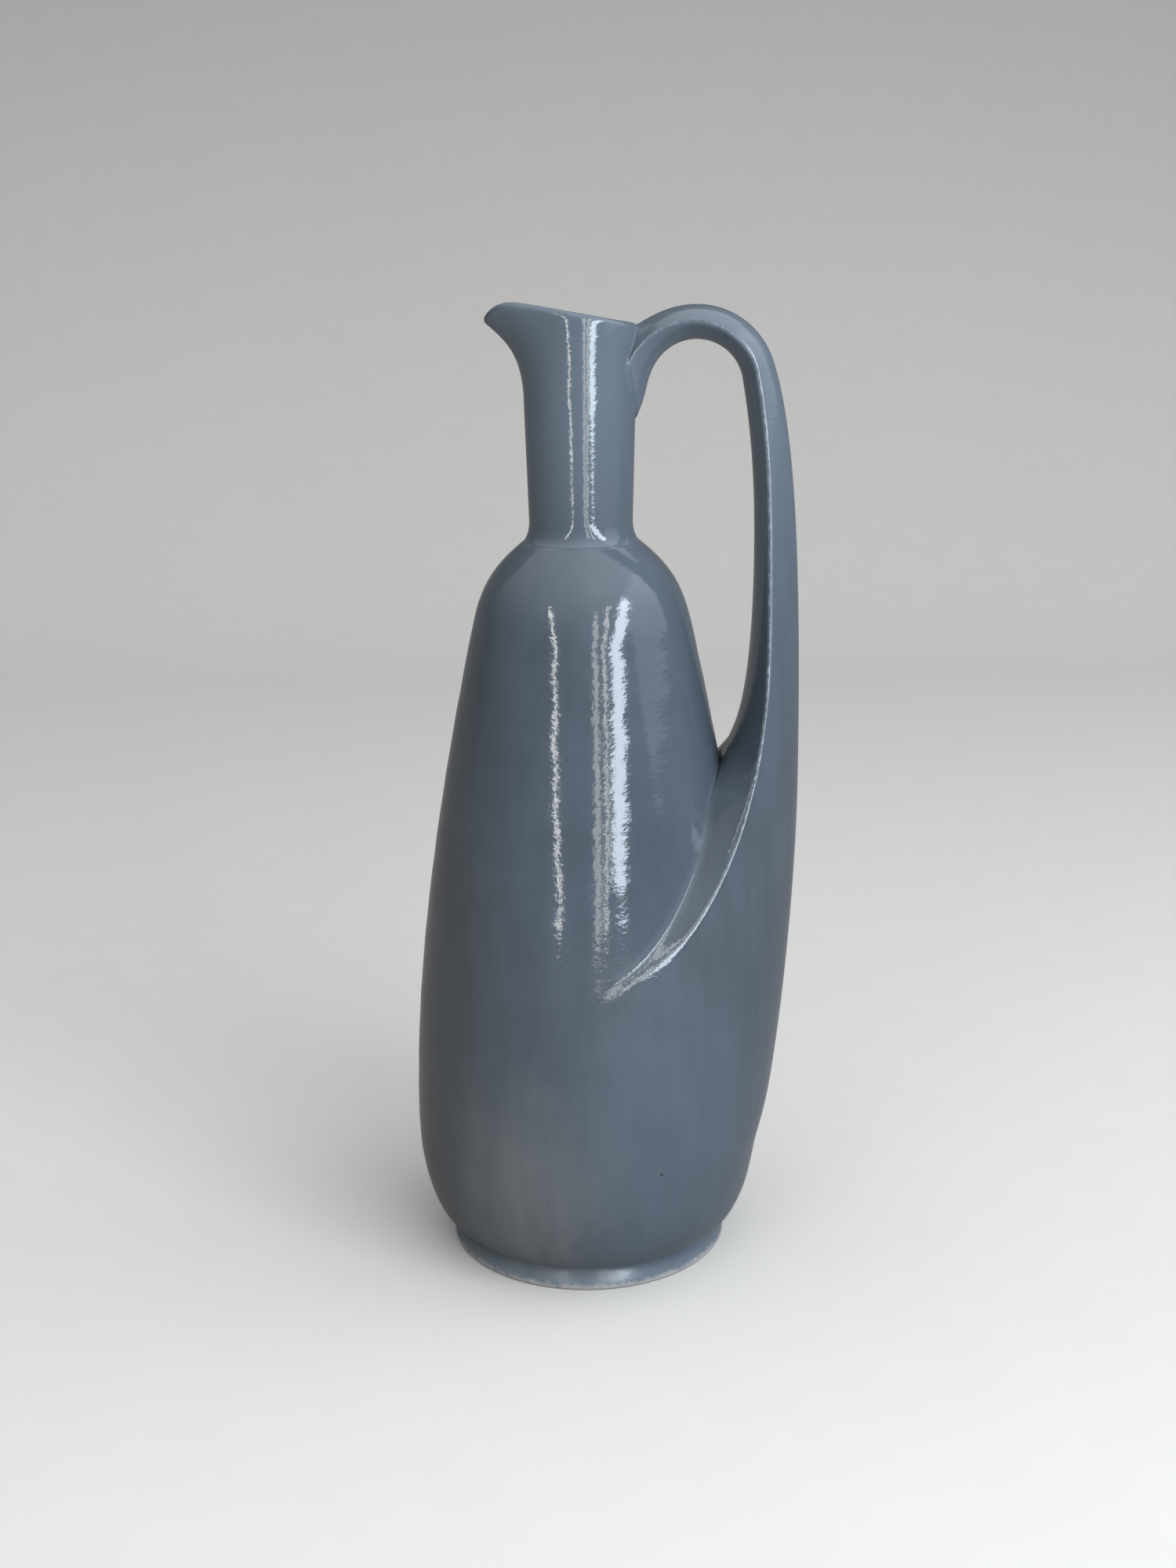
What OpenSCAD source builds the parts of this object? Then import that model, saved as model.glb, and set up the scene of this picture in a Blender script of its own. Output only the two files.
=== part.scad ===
// Glazed pottery ewer: a slim belly on a foot ring, a narrow neck with a pulled pouring lip,
// and a strap handle that lands on the belly in a broad hood.
// Millimetres. The foot stands on Z = 0 at the origin, the lip points to -X and the handle to +X.

/* [Foot] */
// Diameter of the foot ring where it stands
foot_d = 95; // [80:0.5:110]
// Height of the foot ring
foot_h = 8; // [5:0.5:14]
// Width of the band that the foot stands on
foot_band = 7; // [5:0.5:12]
// Depth of the turned groove above the foot, from the foot's edge inwards
groove_in = 2; // [0.5:0.25:3]
// Rounding of the foot's two lower edges
foot_round = 1; // [0.5:0.1:2]

/* [Body] */
// Diameter of the belly at its widest
belly_d = 117.6; // [108:0.2:140]
// Height of the widest point above the foot ring
bowl_h = 38; // [30:1:50]
// Height from the widest point up to the break of the shoulder
flank_h = 167; // [140:1:200]
// Diameter at the break of the shoulder
shoulder_d = 73; // [60:0.5:85]
// Height of the domed shoulder
dome_h = 30; // [24:1:40]
// Thickness of the thrown wall
wall = 5; // [3:0.25:8]
// Thickness of the floor
floor_t = 6; // [4:0.5:10]
// Thickness of the shoulder's edge under the neck
seat_t = 3; // [2:0.25:5]

/* [Neck] */
// Outside diameter of the neck above the fillet at its base
neck_d = 33.5; // [28:0.5:44]
// Thickness of the neck's wall
neck_wall = 4; // [2.5:0.25:5]
// Diameter of the seat on the shoulder, outside the fillet
neck_seat_d = 38; // [36:0.5:50]
// Height of the fillet at the base of the neck
neck_fillet_h = 7; // [4:0.5:12]
// Height of the straight stretch of the neck
neck_straight_h = 36; // [20:1:50]
// How far the straight stretch widens, on the radius
neck_widen = 1; // [0:0.1:2]
// Height of the flared stretch, on the handle's side
flare_h = 25; // [20:0.5:35]

/* [Rim and pouring lip] */
// Outside diameter of the rim on the handle's side
rim_d = 36.4; // [34:0.2:48]
// Thickness of the rounded rim
rim_t = 3.5; // [2:0.1:4.5]
// Rise of the rim from the handle's side to the lip's side
rim_rise = 6.6; // [0:0.1:12]
// Reach of the lip beyond the round of the rim
lip_reach = 11.6; // [6:0.2:16]
// Drop of the lip's tip below the line of the rim
lip_droop = 5; // [0:0.1:8]
// Lean of the lip's tip from upright, in degrees
lip_lean = 50; // [20:1:60]
// Turn from the tip within which most of the lip lies, in degrees
lip_spread = 32; // [22:1:45]
// Turn from the tip within which most of the droop lies, in degrees
droop_spread = 15; // [10:1:22]

/* [Handle arch] */
// From the rim's outside to the middle of the arch
arch_out = 18.8; // [16:0.2:24]
// From the rim's top down to the middle of the arch
arch_down = 20; // [17:0.5:24]
// Radius of the inside of the arch
arch_in_r = 15; // [12:0.25:16]
// Thickness of the strap over the arch
arch_t = 10.7; // [7:0.1:13]
// Width of the strap over the arch
strap_w = 22.6; // [16:0.2:26]
// Width of the strap's end on the neck
strap_end_w = 21; // [16:0.2:26]

/* [Handle limb] */
// Reach of the limb's outer face beyond the belly
limb_out = 12.6; // [9:0.2:20]
// Thickness of the limb at the middle of the grip
limb_t = 15.3; // [11:0.1:18]
// Height of the limb's furthest point below the neck's seat
reach_down = 78; // [70:1:90]
// Height of the grip's widest point below the neck's seat
grip_down = 5; // [0:1:20]
// Height of the crotch, where the strap meets the body, below the neck's seat
crotch_down = 73; // [65:1:80]

/* [Handle root] */
// Height of the joint between strap and root above the crotch
cut_up = 10; // [6:0.5:16]
// Height of the hood's side tips below the crotch
tip_down = 60; // [45:1:70]
// Height of the hood's fading end above the foot ring
toe_up = 16; // [12:1:30]
// Length left off the fading end, where it would be thinner than clay can be
toe_cut = 6; // [4:0.5:10]
// Turn of the strap's edges round the section at the limb, in degrees
limb_turn = 33; // [25:1:40]
// Turn of the hood's edges round the section at the side tips, in degrees
tip_turn = 76; // [60:1:80]
// Turn of the hood's edges round the section at the fading end, in degrees
toe_turn = 45; // [35:1:60]
// Turn from the hood's edge to the foot of its side slope, in degrees
slope_turn = 7.5; // [5:0.5:12]

/* [Joints] */
// Thickness of the slip between curved faces that are luted together
slip = 0.15; // [0.1:0.05:0.4]

/* [Hidden] */
$fn = 96;
glaze = [0.38, 0.44, 0.5];
glaze_deep = [0.34, 0.4, 0.46];

// Heights
belly_z = foot_h + bowl_h;
shoulder_z = belly_z + flank_h;
seat_z = shoulder_z + dome_h;
straight_z = seat_z + neck_fillet_h;
flare_z = straight_z + neck_straight_h;
rim_z = flare_z + flare_h;
reach_z = seat_z - reach_down;
grip_z = seat_z - grip_down;
crotch_z = seat_z - crotch_down;
cut_z = crotch_z + cut_up;
tip_z = crotch_z - tip_down;
toe_z = foot_h + toe_up;
root_low_z = toe_z + toe_cut;
root_open_z = (grip_z + shoulder_z) / 2;

// Radii
foot_r = foot_d / 2;
groove_r = foot_r - groove_in;
belly_r = belly_d / 2;
shoulder_r = shoulder_d / 2;
seat_r = neck_seat_d / 2;
neck_r = neck_d / 2;
bore_r = neck_r - neck_wall;
flare_r = neck_r + neck_widen;
rim_r = rim_d / 2;
half_rim = rim_t / 2;
reach_x = belly_r + limb_out;
grip_x = reach_x - limb_t;
arch_x = rim_r + arch_out;
arch_z = rim_z - arch_down;
arch_out_r = arch_in_r + arch_t;

// Steps along and round the curved faces
profile_steps = 14;
fillet_steps = 5;
flare_steps = 11;
rim_steps = 5;
lip_columns = 60;
arch_steps = 16;
limb_steps = 12;
root_steps = 28;
foot_steps = 6;
lateral = 24;
slope_steps = 4;

// Cubic curves through four points, given as [distance, height]
function curve(p, t) =
    pow(1 - t, 3) * p[0] + 3 * pow(1 - t, 2) * t * p[1] + 3 * (1 - t) * t * t * p[2] + pow(t, 3) * p[3];
function curve_way(p, t) =
    pow(1 - t, 2) * (p[1] - p[0]) + 2 * (1 - t) * t * (p[2] - p[1]) + t * t * (p[3] - p[2]);
function curve_points(p, n, first = 0) = [for (i = [first:n]) curve(p, i / n)];
function inset_points(p, n, depth, first = 0) =
    [for (i = [first:n]) let (w = curve_way(p, i / n)) curve(p, i / n) + depth * [-w[1], w[0]] / norm(w)];
halvings = 26;
function curve_find(p, z, low = 0, high = 1, left = halvings) =
    let (mid = (low + high) / 2)
    left == 0 ? mid :
    (curve(p, mid)[1] < z) == (p[0][1] < p[3][1]) ? curve_find(p, z, mid, high, left - 1) :
    curve_find(p, z, low, mid, left - 1);
function curve_x(p, z) = curve(p, curve_find(p, z))[0];
function mix(a, b, t) = a + (b - a) * t;
function polar(r, turn) = r * [cos(turn), sin(turn)];

// Outside of the body, from the groove up to the neck's seat
bowl_round_share = 0.53;
belly_pull = 22;
flank_pull_low = 52;
flank_pull_high = 58;
flank_slope_share = 0.22;
dome_pull = 14;
seat_slope = 39;
seat_pull = 15;
bowl_curve = [
    [groove_r, foot_h],
    [mix(groove_r, belly_r, bowl_round_share), foot_h],
    [belly_r, belly_z - belly_pull],
    [belly_r, belly_z]
];
flank_curve = [
    [belly_r, belly_z],
    [belly_r, belly_z + flank_pull_low],
    [shoulder_r + flank_slope_share * flank_pull_high, shoulder_z - flank_pull_high],
    [shoulder_r, shoulder_z]
];
dome_curve = [
    [shoulder_r, shoulder_z],
    [shoulder_r - flank_slope_share * dome_pull, shoulder_z + dome_pull],
    [seat_r, seat_z] + polar(seat_pull, -seat_slope),
    [seat_r, seat_z]
];
function body_r(z) =
    z < belly_z ? curve_x(bowl_curve, z) :
    z < shoulder_z ? curve_x(flank_curve, z) :
    curve_x(dome_curve, z);

// Outside of the neck at a turn from the lip's tip
fillet_spread_share = 0.65;
fillet_low_share = 0.2;
fillet_high_share = 0.5;
fillet_curve = [
    [seat_r, seat_z],
    [mix(seat_r, neck_r, fillet_spread_share), mix(seat_z, straight_z, fillet_low_share)],
    [neck_r, mix(seat_z, straight_z, fillet_high_share)],
    [neck_r, straight_z]
];
flare_low_share = 0.6;
flare_pull_high = 9;
function lip_share(turn) = exp(-pow(turn / lip_spread, 2));
function droop_share(turn) = exp(-pow(turn / droop_spread, 2));
function rim_lean(turn) = lip_lean * lip_share(turn);
function rim_middle(turn) =
    let (r = rim_r - half_rim + lip_reach * lip_share(turn))
    [r, rim_z + rim_rise * (rim_r + r * cos(turn)) / rim_d - half_rim - lip_droop * droop_share(turn)];
function flare_curve(turn, side) =
    let (lean = rim_lean(turn), top = rim_middle(turn) + side * half_rim * [cos(lean), -sin(lean)])
    let (low_r = side > 0 ? flare_r : flare_r - neck_wall)
    [
        [low_r, flare_z],
        [low_r, mix(flare_z, rim_z, flare_low_share)],
        top - flare_pull_high * [sin(lean), cos(lean)],
        top
    ];
function rim_round(turn, n) =
    let (lean = rim_lean(turn))
    [for (i = [1:n - 1])
        rim_middle(turn) + half_rim * [cos(lean - 180 * i / n), -sin(lean - 180 * i / n)]];
function neck_section(turn) = concat(
    curve_points(fillet_curve, fillet_steps),
    curve_points(flare_curve(turn, 1), flare_steps),
    rim_round(turn, rim_steps),
    [for (i = [flare_steps:-1:0]) curve(flare_curve(turn, -1), i / flare_steps)],
    [[bore_r, seat_z]]
);
function neck_out_r(z) =
    z < flare_z ? mix(neck_r, flare_r, (z - straight_z) / neck_straight_h) :
    curve_x(flare_curve(180, 1), min(z, rim_z - half_rim));

// Outlines of the handle from the side, given as [distance, height]
outer_end_turn = 20;
inner_end_turn = 10;
outer_pull_arch = 25;
outer_pull_high = 60;
outer_pull_low = 42;
toe_pull_out = 9;
toe_pull_up = 27;
inner_pull_arch = 20;
inner_pull_high = 20;
inner_pull_low = 40;
crotch_pull_out = 6.9;
crotch_pull_up = 11;
arch_middle = [arch_x, arch_z];
outer_top = arch_middle + polar(arch_out_r, outer_end_turn);
inner_top = arch_middle + polar(arch_in_r, inner_end_turn);
outer_high_curve = [
    outer_top,
    outer_top + outer_pull_arch * [sin(outer_end_turn), -cos(outer_end_turn)],
    [reach_x, reach_z + outer_pull_high],
    [reach_x, reach_z]
];
outer_low_curve = [
    [reach_x, reach_z],
    [reach_x, reach_z - outer_pull_low],
    [body_r(toe_z) + toe_pull_out, toe_z + toe_pull_up],
    [body_r(toe_z), toe_z]
];
inner_high_curve = [
    inner_top,
    inner_top + inner_pull_arch * [sin(inner_end_turn), -cos(inner_end_turn)],
    [grip_x, grip_z + inner_pull_high],
    [grip_x, grip_z]
];
inner_low_curve = [
    [grip_x, grip_z],
    [grip_x, grip_z - inner_pull_low],
    [body_r(crotch_z) + slip + crotch_pull_out, crotch_z + crotch_pull_up],
    [body_r(crotch_z) + slip, crotch_z]
];
function outer_x(z) = z > reach_z ? curve_x(outer_high_curve, z) : curve_x(outer_low_curve, z);
function inner_x(z) = z > grip_z ? curve_x(inner_high_curve, z) : curve_x(inner_low_curve, z);

// Hood: its outer face is half an ellipse round the belly, cut off at a turn that opens downwards
open_power = 2.5;
function edge_turn(z) =
    z > root_open_z ? limb_turn :
    z > tip_z ? mix(limb_turn, tip_turn, pow((root_open_z - z) / (root_open_z - tip_z), open_power)) :
    mix(tip_turn, toe_turn, (tip_z - z) / (tip_z - root_low_z));
function hood_point(z, turn) = [outer_x(z) * cos(turn), (body_r(z) + slip) * sin(turn)];
function edge_way(z) = let (p = hood_point(z, edge_turn(z))) atan2(p[1], p[0]);

// Line where the hood's side slope meets the belly, given as [turn, height]
crease_end_up = 2;
crease_end_z = tip_z + crease_end_up;
crease_turn_high = 26;
crease_turn_low = 50;
crease_fall_share = 0.6;
crease_curve = [
    [0, crotch_z],
    [crease_turn_high, crotch_z],
    [crease_turn_low, mix(crotch_z, crease_end_z, crease_fall_share)],
    [edge_way(crease_end_z) + slope_turn, crease_end_z]
];
function crease_turn(z) = z > crease_end_z ? curve_x(crease_curve, z) : edge_way(z) + slope_turn;

// A face that follows the round belly lies at this distance, so that no slanting chord cuts into it
chord_share = 0.8;
function belly_fit(z, step) = (body_r(z) + slip) / cos(step * chord_share);
function slope_point(edge, foot_r, foot_turn, power, t) =
    polar(
        mix(foot_r, norm(edge), pow(1 - t, power)),
        mix(atan2(edge[1], edge[0]), foot_turn, t)
    );

// One level of the hood: the outer face from edge to edge, then the inner side back
least_turn = 3;
hollow_power = 2;
slope_power = 1.4;
slope_settle = 20;
function root_section(z) =
    let (free = z >= crotch_z, edge = hood_point(z, edge_turn(z)), half_steps = lateral / 2)
    let (half = max(free ? 0 : crease_turn(z), least_turn), step = half / (half_steps - slope_steps))
    let (fit = free ? inner_x(z) : belly_fit(z, step))
    let (power = mix(hollow_power, slope_power, min(max(crotch_z - z, 0) / slope_settle, 1)))
    let (outer = [for (j = [0:lateral]) hood_point(z, edge_turn(z) * (j / half_steps - 1))])
    let (inner = [for (j = [1:lateral - 1])
        let (k = min(j, lateral - j))
        let (p = free ? slope_point(edge, fit, 0, power, k / half_steps) :
            k < slope_steps ? slope_point(edge, fit, half, power, k / slope_steps) :
            polar(fit, half - (k - slope_steps) * step))
        j < half_steps ? p : [p[0], -p[1]]])
    [for (p = concat(outer, inner)) [p[0], p[1], z]];

// One section of the strap between its crown, its two edges and its underside
strap_turn = 35;
function crown_share(side, turn) =
    (sqrt(1 - pow(side * sin(turn), 2)) - cos(turn)) / (1 - cos(turn));
function strap_section(crown, edge, under, half_w, turn) = concat(
    [for (j = [0:lateral])
        let (side = sin(turn * (2 * j / lateral - 1)) / sin(turn))
        let (p = mix(edge, crown, crown_share(side, turn)))
        [p[0], half_w * side, p[1]]],
    [for (j = [1:lateral - 1])
        let (side = 1 - 2 * j / lateral)
        let (p = mix(under, edge, side * side))
        [p[0], half_w * side, p[1]]]
);

// Arch: share 1 is the end on the neck, share 0 the top of the limb
crown_end_turn = 134;
edge_end_turn = 167;
under_end_turn = 205;
edge_start_turn = 15;
edge_share_low = 0.38;
edge_share_end = 0.8;
edge_rise_turn = 50;
tail_spread = 4.5;
tail_power = 14;
crown_spread = 1.5;
crown_power = 8;
function edge_r(turn) =
    let (s = max(0, turn - edge_rise_turn) / (edge_end_turn - edge_rise_turn))
    arch_in_r + arch_t * mix(edge_share_low, edge_share_end, s);
function arch_section(share) =
    let (edge_at = mix(edge_start_turn, edge_end_turn, share))
    strap_section(
        arch_middle + polar(
            arch_out_r + crown_spread * pow(share, crown_power),
            mix(outer_end_turn, crown_end_turn, share)
        ),
        arch_middle + polar(edge_r(edge_at), edge_at),
        arch_middle + polar(
            arch_in_r + tail_spread * pow(share, tail_power),
            mix(inner_end_turn, under_end_turn, share)
        ),
        mix(strap_w, strap_end_w, share) / 2,
        strap_turn
    );
function on_neck(p) = [sqrt(pow(neck_out_r(p[2]) + slip, 2) - p[1] * p[1]), p[1], p[2]];

// Limb: share 0 is the end of the arch, share 1 the joint with the root
grip_dip_share = 0.08;
widen_power = 2.3;
cut_edge = hood_point(cut_z, edge_turn(cut_z));
cut_share = (cut_edge[0] - inner_x(cut_z)) / (outer_x(cut_z) - inner_x(cut_z));
function limb_section(share) =
    let (crown_z = mix(outer_top[1], cut_z, share), under_z = mix(inner_top[1], cut_z, share))
    let (crown = [outer_x(crown_z), crown_z], under = [inner_x(under_z), under_z])
    let (edge_share = mix(edge_share_low, cut_share, share) - grip_dip_share * sin(180 * share))
    strap_section(
        crown,
        mix(under, crown, edge_share),
        under,
        mix(strap_w / 2, cut_edge[1], pow(share, widen_power)),
        mix(strap_turn, edge_turn(cut_z), share)
    );

// Faces of a solid that is lofted through rings of points
function ring_faces(rings, n, closed) =
    [for (i = [0:rings - (closed ? 1 : 2)], j = [0:n - 1])
        let (a = i * n, b = ((i + 1) % rings) * n, k = (j + 1) % n)
        each [[a + j, b + k, b + j], [a + j, a + k, b + k]]];
function flat_end(first, n, flip) = [[for (i = [0:n - 1]) first + (flip ? n - 1 - i : i)]];
function curved_end(n) =
    let (half = n / 2)
    [for (j = [0:half - 1])
        let (a = j, b = j + 1, c = n - j - 1, d = (n - j) % n)
        each [if (b != c) [c, b, a], if (a != d) [d, c, a]]];
module loft(sections, curved) {
    n = len(sections[0]);
    last = len(sections) - 1;
    polyhedron(
        points = [for (s = sections) each s],
        faces = concat(
            ring_faces(last + 1, n, false),
            curved ? curved_end(n) : flat_end(0, n, true),
            flat_end(last * n, n, false)
        )
    );
}

groove_lift_share = 0.3;
module foot_ring() {
    in_r = foot_r - foot_band;
    color(glaze_deep)
        rotate_extrude()
            polygon(concat(
                [[in_r + foot_round, 0], [foot_r - foot_round, 0]],
                curve_points([
                    [foot_r, foot_round],
                    [foot_r - foot_round / 2, foot_h / 2],
                    [groove_r, mix(foot_h, 0, groove_lift_share)],
                    [groove_r, foot_h]
                ], foot_steps),
                [[in_r, foot_h], [in_r, foot_round]]
            ));
}

module body() {
    floor_z = foot_h + floor_t;
    outside = concat(
        curve_points(bowl_curve, profile_steps),
        curve_points(flank_curve, profile_steps, 1),
        curve_points(dome_curve, profile_steps, 1)
    );
    inside = concat(
        inset_points(bowl_curve, profile_steps, wall),
        inset_points(flank_curve, profile_steps, wall, 1),
        inset_points(dome_curve, profile_steps, wall, 1)
    );
    hollow = [for (p = inside) if (p[1] > floor_z && p[0] > bore_r) p];
    color(glaze)
        rotate_extrude()
            polygon(concat(
                [[0, foot_h]],
                outside,
                [[bore_r, seat_z], [bore_r, seat_z - seat_t]],
                [for (i = [len(hollow) - 1:-1:0]) hollow[i]],
                [[hollow[0][0], floor_z], [0, floor_z]]
            ));
}

module neck() {
    sections = [for (i = [0:lip_columns - 1])
        let (turn = 360 * i / lip_columns, signed = turn > 180 ? turn - 360 : turn)
        [for (p = neck_section(signed)) [-p[0] * cos(turn), -p[0] * sin(turn), p[1]]]];
    color(glaze)
        polyhedron(
            points = [for (s = sections) each s],
            faces = ring_faces(lip_columns, len(sections[0]), true)
        );
}

module handle_strap() {
    color(glaze)
        loft(concat(
            [[for (p = arch_section(1)) on_neck(p)]],
            [for (i = [arch_steps - 1:-1:0]) arch_section(i / arch_steps)],
            [for (i = [1:limb_steps - 1]) limb_section(i / limb_steps)],
            [root_section(cut_z)]
        ), true);
}

level_power = 1.4;
module handle_root() {
    color(glaze_deep)
        loft([for (i = [0:root_steps])
            root_section(mix(cut_z, root_low_z, pow(i / root_steps, level_power)))], false);
}

foot_ring();
body();
neck();
handle_strap();
handle_root();
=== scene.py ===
# Glazed pottery ewer: turned belly and foot ring, pulled neck and lip, strap handle with a broad hood
import math
import bpy
import bmesh
import numpy as np
from mathutils import Matrix, Vector
from mathutils.bvhtree import BVHTree


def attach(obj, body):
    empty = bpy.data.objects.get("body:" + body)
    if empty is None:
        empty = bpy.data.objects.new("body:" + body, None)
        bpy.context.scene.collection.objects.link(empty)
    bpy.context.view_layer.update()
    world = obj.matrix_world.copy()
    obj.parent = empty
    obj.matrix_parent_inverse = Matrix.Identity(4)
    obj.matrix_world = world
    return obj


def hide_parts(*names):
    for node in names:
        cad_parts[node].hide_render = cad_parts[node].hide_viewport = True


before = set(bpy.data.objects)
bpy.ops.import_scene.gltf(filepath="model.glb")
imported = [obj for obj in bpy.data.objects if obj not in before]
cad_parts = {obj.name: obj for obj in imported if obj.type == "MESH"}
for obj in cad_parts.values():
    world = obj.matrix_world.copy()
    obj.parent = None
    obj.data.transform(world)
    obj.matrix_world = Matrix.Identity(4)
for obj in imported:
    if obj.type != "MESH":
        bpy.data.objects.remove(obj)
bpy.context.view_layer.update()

MM = 0.001

# Sizes in millimetres, as in the solids apart from the hood's edge and crease lines and the strap's tail
FOOT_R, FOOT_H, FOOT_IN_R, GROOVE_R = 47.5, 8.0, 40.5, 45.5
BELLY_R, BELLY_Z = 58.8, 46.0
SHOULDER_R, SHOULDER_Z = 36.5, 213.0
SEAT_R, SEAT_Z = 19.0, 243.0
WALL, FLOOR_Z, SEAT_T = 5.0, 14.0, 3.0
NECK_R, BORE_R, FLARE_R, NECK_WALL = 16.75, 12.75, 17.75, 4.0
STRAIGHT_Z, FLARE_Z, RIM_Z = 250.0, 286.0, 311.0
RIM_R, HALF_RIM, RIM_RISE = 18.2, 1.75, 6.6
LIP_REACH, LIP_DROOP, LIP_LEAN, LIP_SPREAD, DROOP_SPREAD = 11.6, 5.0, 50.0, 32.0, 15.0
ARCH_X, ARCH_Z, ARCH_IN_R, ARCH_T = 37.0, 291.0, 15.0, 10.7
STRAP_W, STRAP_END_W, STRAP_TURN = 22.6, 21.0, 35.0
REACH_X, REACH_Z, GRIP_X, GRIP_Z = 71.4, 165.0, 56.1, 238.0
CROTCH_Z, CUT_Z, TIP_Z, TOE_Z, OPEN_Z = 170.0, 180.0, 110.0, 24.0, 225.5
LIMB_TURN, EDGE_OPENS, EDGE_SWEEPS, CREASE_TURN = 33.0, 36.7, 3.8, 79.2
SLIP = 0.15

# How far, and which way, the ends of each curve pull it
BOWL_SHARE, BOWL_PULL, FLANK_PULL = 0.53, 22.0, 52.0
FLANK_LEAN, SHOULDER_LOW_PULL, SHOULDER_HIGH_PULL = 0.22, 58.0, 14.0
SEAT_PULL, SEAT_SLOPE = 15.0, -39.0
OUTER_START, OUTER_PULL, REACH_HIGH_PULL, REACH_LOW_PULL, TOE_PULL = 20.0, 25.0, 60.0, 42.0, (9, 27)
INNER_START, INNER_PULL, GRIP_HIGH_PULL, GRIP_LOW_PULL, CROTCH_PULL = 10.0, 20.0, 20.0, 40.0, (6.9, 11)
FLARE_SHARE, FLARE_PULL = 0.6, 9.0

# Strap: where its edge, crown and tail meet the neck round the arch, and how its section changes
EDGE_START, EDGE_RISE_START, EDGE_END, CROWN_END, TAIL_END = 15.0, 50.0, 167.0, 134.0, 205.0
EDGE_LOW_SHARE, EDGE_END_SHARE, GRIP_DIP_SHARE = 0.38, 0.8, 0.08
CROWN_SPREAD, CROWN_POWER, TAIL_SPREAD, TAIL_POWER = 1.5, 8, 5.8, 14
WIDEN_POWER, LANDING_SHARE = 2.3, 0.65

# Throwing ripple on the belly: depths, waves for each millimetre, and where it starts and stops
SLOW_RIPPLE, QUICK_RIPPLE, SLOW_WAVE, QUICK_WAVE = 0.035, 0.02, 0.33, 0.57
RIPPLE_LOW, RIPPLE_HIGH, RIPPLE_FADE = 12.0, 236.0, 20.0

# Fineness of the meshes
OUTER_STEPS, ROUND_STEPS, INNER_STEPS = 60, 7, 44
ARCH_RINGS, LIMB_RINGS, HOOD_HIGH_RINGS, HOOD_LOW_RINGS = 90, 110, 110, 60
WHEEL_COLUMNS, NECK_COLUMNS = 240, 192
FILLET_STEPS, STRAIGHT_STEPS, FLARE_STEPS, RIM_STEPS = 20, 24, 40, 14


def mix(a, b, t):
    return a + (b - a) * t


def ease(t):
    t = np.clip(t, 0, 1)
    return t * t * (3 - 2 * t)


def polar(r, turn):
    return np.array([r * math.cos(math.radians(turn)), r * math.sin(math.radians(turn))])


def bent(corners, steps):
    """Points along the cubic curve that four corner points pull."""
    t = np.linspace(0, 1, steps + 1)[:, None]
    a, b, c, d = [np.array(p, float) for p in corners]
    return (1 - t) ** 3 * a + 3 * (1 - t) ** 2 * t * b + 3 * (1 - t) * t * t * c + t ** 3 * d


def reader(points):
    """Distance from the axis as a function of height along a drawn line."""
    points = points[np.argsort(points[:, 1])]
    return lambda z: np.interp(z, points[:, 1], points[:, 0])


# Outside of the belly, from the groove to the neck's seat
BOWL = [
    (GROOVE_R, FOOT_H),
    (mix(GROOVE_R, BELLY_R, BOWL_SHARE), FOOT_H),
    (BELLY_R, BELLY_Z - BOWL_PULL),
    (BELLY_R, BELLY_Z),
]
FLANK = [
    (BELLY_R, BELLY_Z),
    (BELLY_R, BELLY_Z + FLANK_PULL),
    (SHOULDER_R + FLANK_LEAN * SHOULDER_LOW_PULL, SHOULDER_Z - SHOULDER_LOW_PULL),
    (SHOULDER_R, SHOULDER_Z),
]
DOME = [
    (SHOULDER_R, SHOULDER_Z),
    (SHOULDER_R - FLANK_LEAN * SHOULDER_HIGH_PULL, SHOULDER_Z + SHOULDER_HIGH_PULL),
    np.array([SEAT_R, SEAT_Z]) + polar(SEAT_PULL, SEAT_SLOPE),
    (SEAT_R, SEAT_Z),
]
belly_line = np.vstack([bent(BOWL, 400), bent(FLANK, 800)[1:], bent(DOME, 300)[1:]])
belly_r = reader(belly_line)

# Side outlines of the handle
arch_middle = np.array([ARCH_X, ARCH_Z])
outer_top = arch_middle + polar(ARCH_IN_R + ARCH_T, OUTER_START)
inner_top = arch_middle + polar(ARCH_IN_R, INNER_START)
toe = np.array([belly_r(TOE_Z), TOE_Z])
crotch = np.array([belly_r(CROTCH_Z) + SLIP, CROTCH_Z])
outer_x = reader(np.vstack([
    bent([
        outer_top,
        outer_top + OUTER_PULL * polar(1, OUTER_START - 90),
        (REACH_X, REACH_Z + REACH_HIGH_PULL),
        (REACH_X, REACH_Z),
    ], 600),
    bent([(REACH_X, REACH_Z), (REACH_X, REACH_Z - REACH_LOW_PULL), toe + TOE_PULL, toe], 800)[1:],
]))
inner_x = reader(np.vstack([
    bent([
        inner_top,
        inner_top + INNER_PULL * polar(1, INNER_START - 90),
        (GRIP_X, GRIP_Z + GRIP_HIGH_PULL),
        (GRIP_X, GRIP_Z),
    ], 400),
    bent([(GRIP_X, GRIP_Z), (GRIP_X, GRIP_Z - GRIP_LOW_PULL), crotch + CROTCH_PULL, crotch], 600)[1:],
]))


def ripple(z, way):
    """Throwing ripple on the belly: how far the wall stands out, by height and way round, in millimetres."""
    fade = ease((z - RIPPLE_LOW) / RIPPLE_FADE) * ease((RIPPLE_HIGH - z) / RIPPLE_FADE)
    slow = SLOW_RIPPLE * np.sin(z * SLOW_WAVE + way)
    return fade * (slow + QUICK_RIPPLE * np.sin(z * QUICK_WAVE - 2 * way + 1.0))


# Sections of the handle: half a ring from the middle of the outer face round the edge to the inner face
EDGE_ROUND = 1.7


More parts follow.
